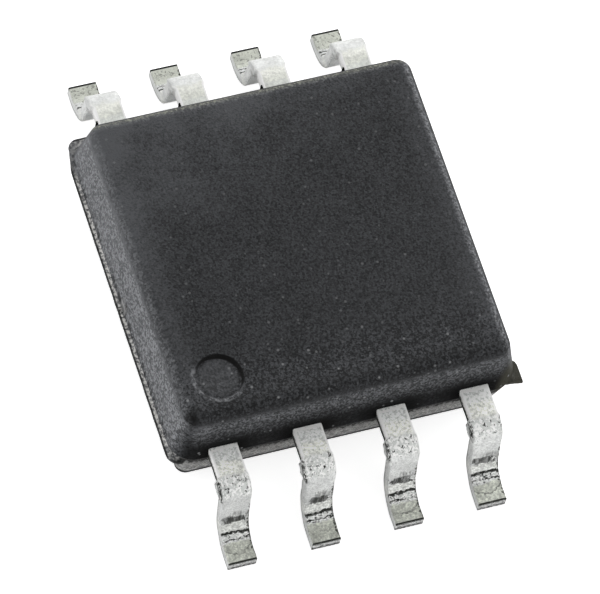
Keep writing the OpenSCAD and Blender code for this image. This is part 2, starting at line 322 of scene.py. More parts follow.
class BodyPoint:
    """Where a point of the moulding lies, its grain and the colour laid on it, as values of a tree."""

    def __init__(self, tree: Tree, finish: MouldCompound, effects: SharedEffects) -> None:
        """Reckons the values.

        Args:
            tree: the material's tree.
            finish: the compound, for its sizes.
            effects: the shared node groups.
        """
        where = tree.place()
        grain = tree.group(effects.sand, {"Vector": where, "Size": finish.grain_size})
        self.tree, self.colour = tree, finish.base
        self.grit, self.raised, self.cloud, self.fleck = grain
        self.x, self.y, self.z = tree.split(where)
        self.blotch = tree.noise(where, 9.0, 3.0, 0.65)
        self.curds = tree.noise(tree.scaled(where, (1.0, 1.0, 0.25)), 20.0, 2.0)

        # over is the height over the parting line, and the others lie inside the drafted sides' planes
        self.over = self.z - finish.parting
        drawn = self.over.most(0.0) * math.tan(math.radians(finish.draft))
        reach_x, reach_y = finish.half_x - drawn, finish.half_y - drawn
        self.inside_x = reach_x - abs(self.x)
        self.inside_y = reach_y - abs(self.y)
        self.from_back = reach_y - self.y
        self.from_front = reach_y + self.y
        self.from_far = self.from_back.least(reach_x - self.x)

        self.near_rim = self.z.ramp(finish.rim_start - 0.03, finish.rim_start + 0.01)
        self.on_top = self.z.ramp(finish.rim_start, finish.rim_start + 0.02)
        self.above = self.over.ramp(0.001, 0.006)
        self.below = self.over.fall(0.001, 0.005)
        self.in_front = self.from_front.fall(0.03, 0.14)

    def apart(self, x: float, y: float) -> Value:
        """Says how far the point lies from a place, seen from above."""
        level = self.tree.value("CombineXYZ", {0: self.x, 1: self.y})
        return self.tree.value("VectorMath", {0: level, 1: (x, y, 0.0)}, "Value", operation="DISTANCE")

    def lay(self, mask: Value, colour: Value | Rgba) -> None:
        """Lays a colour over what is there."""
        self.colour = mask.mix(self.colour, colour)


@dataclass(frozen=True)
class MouldCompound:
    """Charcoal epoxy moulding compound: sandy grain, pale flecks, frosted sides, flash, and painted light
    and shade on its rims, sides, dimple and lower half.

    The heights of the parting line and the heel, the half sizes, the leads' pitch, the dimple's place and
    radius and the tie bars' place along Y are in millimetres, and place the marks of moulding.
    """

    parting: float
    heel: float
    half_x: float
    half_y: float
    draft: float
    pitch: float
    rim_start: float
    dimple: Triple
    tie_y: float
    corner: Point = (-2.37, -2.38)
    base: Rgba = (0.0122, 0.0127, 0.0136, 1.0)
    grain: Rgba = (0.080, 0.083, 0.089, 1.0)
    frost_and_sheen: Rgba = (0.275, 0.282, 0.296, 1.0)
    stain_and_sheen: Rgba = (0.270, 0.276, 0.225, 1.0)
    fleck: Rgba = (0.24, 0.245, 0.25, 1.0)
    bounce_pale: Rgba = (0.92, 0.91, 0.88, 1.0)
    olive: Rgba = (0.050, 0.048, 0.036, 1.0)
    jet: Rgba = (0.002, 0.002, 0.002, 1.0)
    grain_size: float = 0.030
    relief: float = 0.006
    ior: float = 1.25

    def grained(self, at: BodyPoint) -> None:
        """Lays the grain, lightened by a painted gradient of light towards the back-left corner and by
        painted highlights along every edge but the front one.

        Args:
            at: the point.
        """
        # painted light: the top lightens towards the back-left corner
        painted_glow = (at.y - at.x * 0.55).ramp(0.6, 3.6) * at.cloud.ramp(0.0, 1.0, 0.6, 1.4)
        # painted highlight: the top lightens near the ends and the back, the edges that face the lamps
        edge = at.inside_x.least(at.from_back).fall(0.10, 0.55)
        share = at.grit * 0.85 + at.cloud * 0.10 + painted_glow * 0.42 + edge * 0.26 - 0.17
        coarse = (at.grit - 0.5) * at.from_front.fall(0.25, 1.1, 0.9)
        at.lay((share + coarse).clamped(), self.grain)

    def frosted_and_sheened(self, at: BodyPoint) -> None:
        """Lays the frost of the drafted sides, which starts below their rims: partly their matte texture,
        partly painted sheen, with painted highlights on the back and right rims.

        Args:
            at: the point.
        """
        broken = at.z + at.grit.ramp(0.2, 0.8, -0.055, 0.055) + at.blotch.ramp(0.35, 0.65, -0.03, 0.03)
        below_rim = broken.fall(self.rim_start - 0.05, self.rim_start + 0.05)
        # the frost is partly the sides' matte texture and partly a painted sheen, strongest on the bare ends
        bare_end = at.inside_x.fall(0.0, 0.06, 0.86) * below_rim
        lead_side = at.inside_y.fall(0.0, 0.06, 0.32) * below_rim
        # painted highlight on the back and right rims, which face the lamps
        far_rim = at.from_far.fall(0.04, 0.155, 0.66) * at.from_far.ramp(0.018, 0.046)
        side = bare_end.most(lead_side, far_rim, at.inside_x.fall(0.03, 0.12, 0.25))
        side = (side * at.grit.ramp(0.30, 0.95, 0.24, 1.56)).clamped()
        # the back rim's painted highlight is tinted olive
        olive_back_rim = at.from_back.fall(0.05, 0.14) * at.near_rim
        at.lay(side, olive_back_rim.mix(self.frost_and_sheen, self.stain_and_sheen))
        bled = at.from_far.fall(0.020, 0.045, 0.66) * at.blotch.ramp(0.36, 0.56, 0.45, 1.0)
        # painted shade on the front rim, laid with a dark line along the back and right rims
        outline = bled.most(at.from_front.fall(0.10, 0.34, 0.32))
        at.lay(outline * at.near_rim, self.jet)

    def dimpled(self, at: BodyPoint) -> None:
        """Marks the dimple, with painted shade on its back wall and a painted highlight along its front lip,
        and the smudge on the corner beside it.

        Args:
            at: the point.
        """
        cx, cy, radius = self.dimple
        apart = at.apart(cx, cy)
        back = (at.y - cy) * 0.78 + (at.x - cx) * 0.62
        behind = back.ramp(-0.5 * radius, 0.3 * radius)
        wide = apart + back.ramp(0.1 * radius, radius, 0.0, 0.035)
        # painted shade inside the dimple's back wall
        ring = wide.ramp(radius - 0.050, radius - 0.030) * behind * apart.fall(radius - 0.02, radius)
        at.lay(apart.fall(radius - 0.10, radius - 0.06, 0.09) * at.on_top, self.frost_and_sheen)
        at.lay(ring * at.on_top, self.jet)
        # painted highlight along the front of the dimple's rim
        lip = apart.band(radius - 0.010, radius + 0.016, 0.035) * behind.fall(0.0, 1.0) * at.on_top
        at.lay(lip * at.curds.ramp(0.42, 0.62, 0.08, 0.62), self.frost_and_sheen)
        smudge = at.apart(*self.corner).fall(0.04, 0.20, 0.9) * at.blotch.ramp(0.36, 0.56, 0.4, 1.0)
        at.lay(smudge * at.on_top, self.jet)

    def foot(self, at: BodyPoint) -> Value:
        """Masks the painted shade at the foot of the sides that hold leads, darkest beside each lead.

        Args:
            at: the point.

        Returns:
            The mask.
        """
        off = at.tree.math("FRACT", at.x / self.pitch) - 0.5
        on_side = at.in_front.most(at.from_back.fall(0.01, 0.05))
        return at.over.fall(0.19, 0.63) * at.above * on_side * abs(off).ramp(0.16, 0.50, 1.0, 0.85)

    def torn(self, at: BodyPoint) -> Value:
        """Masks a broken line of painted shade in the crease where the flash meets the foot of the bare
        ends.
        """
        line = at.over.band(0.006, 0.07, 0.04) * at.above
        return line * at.curds.fall(0.42, 0.54) * at.inside_x.fall(0.01, 0.05) * 0.75

    def heel_and_parting_shade(self, at: BodyPoint) -> Value:
        """Masks the dark band along the heel, and painted shade under the parting line, a thin line all
        round and deeper on the front.

        Args:
            at: the point.

        Returns:
            The mask.
        """
        ragged = at.over + at.curds.ramp(0.38, 0.62, -0.11, 0.11)
        under = at.over.fall(-0.04, -0.002).most(at.in_front)
        # painted shade just under the parting line
        parting_shade = ragged.ramp(-0.30, -0.06, 0.0, 0.9) * under * at.below
        return parting_shade.most(at.z.band(self.heel, self.heel + 0.16, 0.02) * 0.9)

    def bounce_lit(self, at: BodyPoint) -> None:
        """Lightens the lower half in streaks and the flash in flakes, as painted light bounced up from the
        floor.

        Args:
            at: the point.
        """
        shelf = at.over.ramp(-0.05, -0.002)
        nook = (at.y + self.half_y).ramp(0.15, 0.6, 0.35, 1.0)
        flakes = at.curds.ramp(0.42, 0.58, 0.16, 1.35) * nook
        mottle = flakes * shelf + at.curds.ramp(0.34, 0.66, 0.18, 0.50) * (1.0 - shelf)
        mottle = (mottle * at.grit.ramp(0.1, 0.9, 0.55, 1.25)).clamped()
        # painted light bounced up from the floor onto the lower half and the flash
        at.lay(at.below * mottle, self.bounce_pale)

    def trimmed(self, at: BodyPoint) -> None:
        """Marks the plain vent tab, the dark rim of the flash, the nick at the tie bar and the broken gate.

        Args:
            at: the point.
        """
        left, right, back = at.x + self.half_x, at.x - self.half_x, at.y - self.half_y
        vent = back.ramp(-0.7, -0.4) * left.fall(0.0, 0.5) * at.below * 0.85
        at.lay(vent, at.grit.ramp(0.3, 1.1, 0.0, 0.4).mix(self.grain, self.frost_and_sheen))
        rim = left.fall(-0.052, -0.034).most(back.ramp(0.024, 0.042))
        nick = at.y.band(self.tie_y - 0.03, self.tie_y + 0.05, 0.03) * at.blotch.ramp(0.36, 0.46)
        at.lay(rim.most(nick * left.fall(0.0, 0.03)) * at.below * 0.92, self.jet)
        gate = right.ramp(-0.18, -0.02) * (at.y + self.half_y).fall(0.36, 0.46) * at.below * 0.95
        web = (right - (at.y + self.half_y)).ramp(-0.44, -0.30) * at.over.fall(0.22, 0.62, 0.88)
        at.lay(gate.most(web), self.olive)

    def material(self, effects: SharedEffects) -> Material:
        """Builds the material.

        Args:
            effects: the shared node groups.

        Returns:
            The material.
        """
        material, tree, shader = new_material("mould_compound")
        at = BodyPoint(tree, self, effects)
        foot, heel = self.foot(at), self.heel_and_parting_shade(at)
        for step in (self.grained, self.frosted_and_sheened, self.dimpled):
            step(at)
        # painted shade at the foot of the sides that hold leads
        at.lay(foot, self.jet)
        # painted shade in the crease between the flash and the bare ends
        at.lay(self.torn(at), self.jet)
        self.bounce_lit(at)
        # painted shade under the parting line, with the dark band along the heel
        at.lay(heel, self.jet)
        self.trimmed(at)
        shown = at.fleck * at.from_front.ramp(0.3, 1.1, 1.0, 0.35)
        polish = at.over.fall(-0.05, -0.002, 0.34) * at.curds.ramp(0.42, 0.58, 0.35, 1.0)
        rough = at.grit.ramp(0.1, 0.9, 0.52, 0.68) + foot * 0.40 - polish * heel.ramp(0.0, 0.9, 1.0, -0.9)
        at.lay(shown, self.fleck)
        tree.feed(shader, {"Base Color": at.colour, "Roughness": rough, "IOR": self.ior})
        tree.bump(shader, at.raised + at.fleck * 1.2, 0.7, self.relief)
        return material


class StripPoint:
    """Where a point of a lead lies on its flat strip, and the noise there, as values of a tree."""

    def __init__(self, tree: Tree, finish: TinPlate, effects: SharedEffects) -> None:
        """Reads what the vertices carry.

        Args:
            tree: the material's tree.
            finish: the plating, for its sizes.
            effects: the shared node groups.
        """
        strip = tree.attribute("strip", "Vector")
        self.tree = tree
        self.lot, self.wear, self.tone = (tree.attribute(name) for name in ("lot", "wear", "tone"))
        self.across, self.along, self.depth = tree.split(strip)
        self.bright, self.dark, self.streak = tree.group(effects.scuffs, {"Vector": strip, "Lot": self.lot})
        where = tree.shifted(strip, self.lot * 5.3)
        self.wander = tree.noise(where, 5.0, 3.0)
        self.ragged = tree.noise(where, 22.0, 2.0)
        self.fine = tree.noise(where, 38.0, 2.0)
        wave = self.wander.ramp(0.3, 0.7, -0.022, 0.022) + self.ragged.ramp(0.3, 0.7, -0.014, 0.014)
        self.bent = self.along + wave
        self.past_side = abs(self.across) - finish.half_wid
        self.past_toe = self.along - finish.length
        self.toe = self.past_toe.ramp(-0.012, -0.004)
        self.top = self.depth.fall(0.05, 0.16)
        self.unworn = 1.0 - self.wear

    def on(self, stretch: Stretch) -> Value:
        """Masks a stretch of the strip, with wandering ends."""
        return self.bent.band(*stretch)


@dataclass(frozen=True)
class TinPlate:
    """Matte tin over copper alloy, with the marks that trimming and forming leave along a lead, and painted
    highlights and shade.

    The stretches are in mm along the strip from the body: start, end and the width of the fade beyond them.
    """

    half_wid: float
    length: float
    tin: Rgba = (0.80, 0.81, 0.80, 1.0)
    cool: Rgba = (0.98, 1.00, 0.98, 1.0)
    straw: Rgba = (0.99, 1.00, 0.94, 1.0)
    olive: Rgba = (0.69, 0.71, 0.64, 1.0)
    mark_and_shade: Rgba = (0.016, 0.018, 0.014, 1.0)
    bright: Rgba = (1.0, 1.0, 0.99, 1.0)
    dull: Rgba = (0.72, 0.74, 0.72, 1.0)
    collar: Stretch = (-0.02, 0.012, 0.012)
    shoulder: Stretch = (-0.1, 0.19, 0.06)
    hazed: Stretch = (0.04, 0.28, 0.10)
    crest: Stretch = (0.25, 0.40, 0.07)
    rolled: Stretch = (0.0, 0.42, 0.04)
    level: Stretch = (-0.05, 0.30, 0.08)
    stub: Stretch = (-0.1, 0.44, 0.05)
    first_bend: Stretch = (0.45, 0.64, 0.05)
    clumped: Stretch = (0.48, 0.68, 0.05)
    slope: Stretch = (0.68, 1.08, 0.06)
    nicked: Stretch = (0.7, 1.9, 0.1)
    dark_side: Stretch = (0.92, 1.93, 0.1)
    smear_start: Stretch = (1.03, 1.10, 0.07)
    smear: Stretch = (1.115, 1.25, 0.03)
    smear_end: Stretch = (1.28, 1.44, 0.04)
    line: Stretch = (1.460, 1.502, 0.014)
    behind_line: Stretch = (1.515, 1.645, 0.025)
    second_line: Stretch = (1.605, 1.620, 0.014)
    specked: Stretch = (1.56, 1.96, 0.06)
    foot: Stretch = (1.70, 2.2, 0.06)
    witness: Stretch = (1.872, 1.885, 0.016)
    relief: float = 0.007

    def tinted(self, at: StripPoint) -> Value:
        """Tints the plating by the stretches that forming has rubbed or left alone.

        Args:
            at: the point.

        Returns:
            The colour.
        """
        tint = at.on(self.shoulder).mix(self.tin, self.cool)
        tint = at.on(self.crest).mix(tint, self.straw)
        tint = (at.on(self.hazed) * at.unworn * 0.55).mix(tint, self.olive)
        tint = (at.on(self.smear_end) * 0.4).mix(tint, self.straw)
        tint = (at.on(self.foot) * at.top).mix(tint, self.olive)
        rubbed = at.on(self.slope)
        specks = (at.fine.ramp(0.3, 0.7, 0.78, 1.14) - 0.97) * at.wear.ramp(0.0, 1.0, 0.4, 1.0) + 0.97
        patches = (at.ragged.ramp(0.28, 0.72) - 0.5) * rubbed.ramp(0.0, 1.0, 0.54, 0.12)
        patches = patches * at.wear.ramp(0.0, 1.0, 0.35, 1.0) + rubbed.ramp(0.0, 1.0, 0.98, 1.04)
        shade = at.wander.ramp(0.3, 0.7, 0.86, 1.06) * specks * patches
        # the lead's tone carries painted light, brighter towards lead 4
        return at.tree.shaded(at.tree.shaded(tint, shade), at.tone)

    def formed(self, at: StripPoint) -> Value:
        """Masks the smear bar, forming lines, witness arc, painted shade along the right edge and nicks of
        the upper face.

        Args:
            at: the point.

        Returns:
            The mask.
        """
        side = at.across + at.ragged.ramp(0.3, 0.7, -0.03, 0.03)
        reach = side + at.wander.ramp(0.35, 0.65, -0.04, 0.05)
        off = at.across + 0.02
        bow = (at.bent + off * off * 3.0).band(*self.witness)
        # painted shade along the lead's right edge
        right = (side - self.half_wid).ramp(-0.030, -0.012) * at.on(self.dark_side)
        marks = at.on(self.smear) * reach.band(-0.15, 0.10, 0.035) * at.streak.ramp(0.0, 1.0, 0.95, 0.62)
        return marks.most(
            at.on(self.smear_start) * reach.band(-0.03, 0.15, 0.06) * at.streak.fall(0.0, 0.8, 0.55),
            at.on(self.line) * at.ragged.ramp(0.34, 0.5, 0.75, 1.0),
            at.on(self.second_line) * at.wander.ramp(0.46, 0.54),
            bow * at.wander.ramp(0.42, 0.55, 0.15, 0.6) * at.wear,
            at.on(self.specked) * at.ragged.ramp(0.54, 0.62, 0.0, 0.6) * at.unworn,
            right * at.ragged.ramp(0.36, 0.56, 0.35, 0.95),
            at.on(self.nicked) * at.fine.ramp(0.66, 0.72, 0.0, 0.7),
        )

    def sheared(self, at: StripPoint) -> Value:
        """Masks the dark torn zones of the sheared sides and toe, and painted shade on the lower sides near
        the body and along the toe's upper edge.

        Args:
            at: the point.

        Returns:
            The mask.
        """
        edge = at.depth + at.ragged.ramp(0.3, 0.7, -0.16, 0.16)
        # painted shade on the lower part of the sides near the body
        near = at.along.band(*self.stub) * edge.ramp(0.40, 0.56) * at.wear.most(at.along.fall(0.04, 0.08))
        far = edge.ramp(0.72, 0.92) * at.ragged.ramp(0.42, 0.6, 0.05, 0.5)
        torn = at.past_side.ramp(-0.006, -0.002) * near.most(far)
        # painted shade of the burr along the toe's upper edge
        lip = (at.past_toe + at.wear.fall(0.0, 1.0, 0.014)).ramp(-0.022, -0.014) * edge.fall(0.14, 0.24)
        base = at.toe * edge.ramp(0.55, 0.72) * at.ragged.ramp(0.42, 0.48)
        return torn.most(lip, base, at.toe * at.ragged.ramp(0.53, 0.57, 0.0, 0.9))

    def material(self, effects: SharedEffects) -> Material:
        """Builds the material.

        Args:
            effects: the shared node groups.

        Returns:
            The material.
        """
        material, tree, shader = new_material("tin_plate")
        at = StripPoint(tree, self, effects)
        # painted highlight on the die-rolled upper edge of the sides
        rolled_highlight = at.past_side.ramp(-0.042, -0.020) * at.on(self.rolled)
        behind = at.on(self.behind_line)
        pressed = at.on(self.first_bend).most(behind) * at.top * at.wear
        # the rolled edge's painted highlight, and a bright line where the lead leaves the body
        surface = rolled_highlight.most(at.on(self.collar)).mix(self.tinted(at), self.bright)
        # the bright pressed spots are partly flattened tin and partly painted glints
        surface = (pressed * at.bright).mix((pressed * 0.8).mix(surface, self.dull), self.bright)
        surface = (at.toe * at.fine.ramp(0.52, 0.46)).mix(surface, self.bright)
        cracks = behind * at.top * at.dark.ramp(0.0, 0.4, 0.0, 0.85) * at.wear
        left = (at.across + self.half_wid).ramp(0.05, 0.02) * at.wear * at.depth.fall(0.3, 0.5)
        clumps = left * at.on(self.clumped) * at.ragged.ramp(0.42, 0.52)
        pits = pressed * at.dark * at.wear
        marks = pits.most(cracks, clumps, self.formed(at) * at.top, self.sheared(at)).clamped()
        metal = marks.ramp(0.0, 1.0, 0.45, 0.1) - (rolled_highlight - marks).clamped() * 0.45
        looks = {
            "Base Color": marks.mix(surface, self.mark_and_shade),
            "Roughness": at.fine.ramp(0.3, 0.7, 0.56, 0.72) + marks * 0.25,
            "Metallic": (metal - at.on(self.level) * 0.12).clamped(),
        }
        tree.feed(shader, looks)
        height = at.fine * 0.8 + at.wander * 0.5 + pressed * (at.bright - at.dark) * 1.2 - marks * 0.8
        tree.bump(shader, height, 0.7, self.relief)
        return material


@dataclass(frozen=True)
class SealedFinish:
    """A finish of a piece sealed inside the body: two tones broken up by fine sand, over a metal or not."""

    name: str
    dark: Rgba
    light: Rgba
    metallic: float
    rough: tuple[float, float]
    grain_size: float
    relief: float
    stretch: Triple = (1.0, 1.0, 1.0)
    tarnish: Rgba | None = None
    film: Rgba = (0.06, 0.06, 0.06, 1.0)
    tarnish_x: float = 2.4

    def material(self, effects: SharedEffects) -> Material:
        """Builds the material.

        Args:
            effects: the shared node groups.

        Returns:
            The material.
        """
        material, tree, shader = new_material(self.name)
        where = tree.place()
        inputs = {"Vector": tree.scaled(where, self.stretch), "Size": self.grain_size}
        grit, raised, cloud, _ = tree.group(effects.sand, inputs)
        colour, metallic = ((grit + cloud) * 0.5).mix(self.dark, self.light), self.metallic
        if self.tarnish:
            old = abs(tree.split(where)[0]).ramp(self.tarnish_x, self.tarnish_x + 0.15)
            colour = old.mix(colour, grit.ramp(0.2, 0.8).mix(self.film, self.tarnish))
            metallic = old.fall(0.0, 1.0, self.metallic)
        rough = grit.ramp(0.0, 1.0, *self.rough)
        tree.feed(shader, {"Base Color": colour, "Metallic": metallic, "Roughness": rough})
        tree.bump(shader, raised, 0.4, self.relief)
        return material


SEALED = {
    "die_paddle": SealedFinish(
        "bare_copper",
        (0.44, 0.21, 0.12, 1.0),
        (0.72, 0.42, 0.27, 1.0),
        1.0,
        (0.28, 0.42),
        0.03,
        0.002,
        (1.0, 0.5, 1.0),
        (0.36, 0.365, 0.37, 1.0),
    ),
    "die_attach": SealedFinish(
        "silver_paste", (0.42, 0.42, 0.40, 1.0), (0.70, 0.70, 0.66, 1.0), 0.3, (0.5, 0.7), 0.02, 0.004
    ),
    "flash_die": SealedFinish(
        "sawn_silicon", (0.10, 0.11, 0.16, 1.0), (0.20, 0.22, 0.30, 1.0), 0.6, (0.16, 0.26), 0.012, 0.0005
    ),
    "bond_wire": SealedFinish(
        "drawn_gold", (0.70, 0.45, 0.13, 1.0), (0.92, 0.68, 0.28, 1.0), 1.0, (0.2, 0.34), 0.01, 0.0008
    ),
}


@dataclass(frozen=True)
class PaleSweep:
    """The plain pale floor: matte, and lifted to white for the camera and for what metal mirrors."""

    colour: Rgba = (0.90, 0.90, 0.90, 1.0)
    lift: float = 0.72
    mirrored: float = 0.15
    rough: float = 0.9
    specular: float = 0.1

    def material(self) -> Material:
        """Builds the floor's material.

        Returns:
            The material.
        """
        material, tree, shader = new_material("pale_sweep")
        seen, glossy, through = (tree.value("LightPath", out=ray.value) for ray in Ray)
        weave = tree.noise(tree.place(), 0.4, 3.0, 0.5)
        looks = {
            "Base Color": tree.shaded(self.colour, weave.ramp(0.3, 0.7, 0.97, 1.0)),
            "Roughness": self.rough,
            "Specular IOR Level": self.specular,
            "Emission Color": WHITE,
            "Emission Strength": (seen * self.lift).most(glossy.most(through) * self.mirrored),
        }
        tree.feed(shader, looks)
        return material


# ---- Meshes -------------------------------------------------------------------------------------


def finished_piece(bm: BMesh, name: str, sharp: float = 34.0) -> Object:
    """Closes a mesh drawn in millimetres and makes it an object in metres at the origin.

    Args:
        bm: the mesh, which is freed.
        name: the object's name.
        sharp: angle in degrees past which an edge is drawn sharp.

    Returns:
        The new object.
    """
    bmesh.ops.remove_doubles(bm, verts=bm.verts[:], dist=SEAM)
    bmesh.ops.recalc_face_normals(bm, faces=bm.faces[:])
    for face in bm.faces:
        face.smooth = True
    for edge in bm.edges:
        if len(edge.link_faces) == 2:
            edge.smooth = edge.calc_face_angle(0.0) < math.radians(sharp)
    bmesh.ops.scale(bm, vec=(MM, MM, MM), verts=bm.verts[:])
    mesh = bpy.data.meshes.new(name)
    bm.to_mesh(mesh)
    bm.free()
    piece = bpy.data.objects.new(name, mesh)
    bpy.context.scene.collection.objects.link(piece)
    return piece


def middle(node: str) -> Vector:
    """Gives the middle of a CAD node's box in mm."""
    low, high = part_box(node)
    return (low + high) / (2 * MM)


def stand_in(piece: Object, material: Material, node: str) -> None:
    """Dresses a new piece and puts it in the place of its CAD node.

    Args:
        piece: the new object.
        material: its finish.
        node: the CAD node that it replaces.
    """
    piece.data.materials.append(material)
    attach(piece, "root")
    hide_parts(node)
    LOG.info("%s: %d faces", piece.name, len(piece.data.polygons))


def only(kind: type, parts: Iterable) -> list:
    """Picks the vertices, edges or faces out of mixed parts of a mesh."""
    return [part for part in parts if isinstance(part, kind)]


def level_at(parts: Iterable, z: float) -> list:
    """Picks the faces or edges that lie level at a height in mm."""
    return [part for part in parts if all(abs(v.co.z - z) < LEVEL for v in part.verts)]


def bevel(bm: BMesh, geom: list, offset: float, segments: int) -> None:
    """Rounds edges or vertices."""
    affect = "VERTICES" if isinstance(geom[0], BMVert) else "EDGES"
    bmesh.ops.bevel(bm, geom=geom, offset=offset, affect=affect, segments=segments, profile=0.5, material=-1)


class Sweep:
    """A section drawn along its way: the mesh, and the edges of its open end."""

    def __init__(self, bm: BMesh, loop: list[BMEdge]) -> None:
        """Starts from a section."""
        self.bm, self.loop = bm, loop

    def advance(self) -> list[BMVert]:
        """Extrudes the open end in place.

        Returns:
            The new end's vertices.
        """
        made = bmesh.ops.extrude_edge_only(self.bm, edges=self.loop)["geom"]
        verts = only(BMVert, made)
        fresh = set(verts)
        self.loop = [edge for edge in only(BMEdge, made) if fresh.issuperset(edge.verts)]
        return verts

    def widen(self, out: float) -> None:
        """Steps the section out at both sides, or in where negative, square to its run."""
        for v in self.advance():
            v.co.x += math.copysign(1.0, v.co.x) * out

    def run(self, dy: float, dz: float, steps: int) -> None:
        """Extends the section straight, so far out and so far up, in a number of steps."""
        for _ in range(steps):
            bmesh.ops.translate(self.bm, vec=(0.0, dy / steps, dz / steps), verts=self.advance())

    def bend(self, centre: Point, angle: float, steps: int) -> None:
        """Extends the section round a bend.

        Args:
            centre: the bend's centre, out and up.
            angle: degrees that it turns down, or up where negative.
            steps: pieces in the bend.
        """
        turn = Matrix.Rotation(-math.radians(angle) / steps, 3, "X")
        for _ in range(steps):
            bmesh.ops.rotate(self.bm, cent=(0.0, *centre), matrix=turn, verts=self.advance())

    def close(self) -> None:
        """Fills the open end."""
        bmesh.ops.edgeloop_fill(self.bm, edges=self.loop)


def arc(cx: float, cy: float, r: float, start: float, end: float) -> list[Point]:
    """Gives six points of an arc in plan, from a first to a last angle in degrees."""
    angles = [math.radians(start + (end - start) * k / 5) for k in range(6)]
    return [(cx + r * math.cos(a), cy + r * math.sin(a)) for a in angles]


